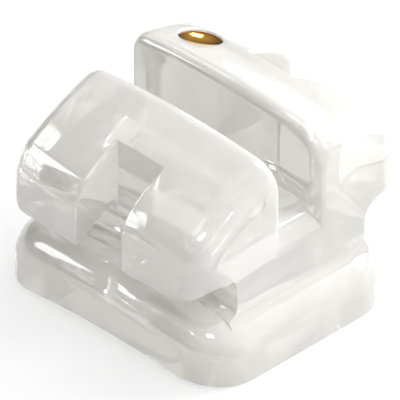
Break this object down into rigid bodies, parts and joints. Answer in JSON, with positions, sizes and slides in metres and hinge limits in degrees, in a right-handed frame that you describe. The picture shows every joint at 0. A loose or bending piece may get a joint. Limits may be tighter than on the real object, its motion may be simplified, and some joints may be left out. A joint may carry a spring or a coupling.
{
  "type": "orthodontic bracket",
  "caption": "Glossy white ceramic twin bracket with paired tie wings, an open archwire slot, a curved bonding base and a gold identification dot sunk in one wing.",
  "frame": {"origin": "Bottom centre: halfway along the slot, midway between the front and rear wing tips, level with the lowest edges of the base", "axes": "+X runs along the archwire slot, +Y across it towards the wing pair with the dot, +Z away from the tooth"},
  "size_m": [0.0038, 0.0036, 0.0028],
  "materials": {
    "ceramic": "polished, slightly translucent",
    "gold_fill": "polished"
  },
  "bodies": {
    "root": {"bracket_body": "ceramic", "identification_dot": "gold_fill"}
  },
  "joints": []
}
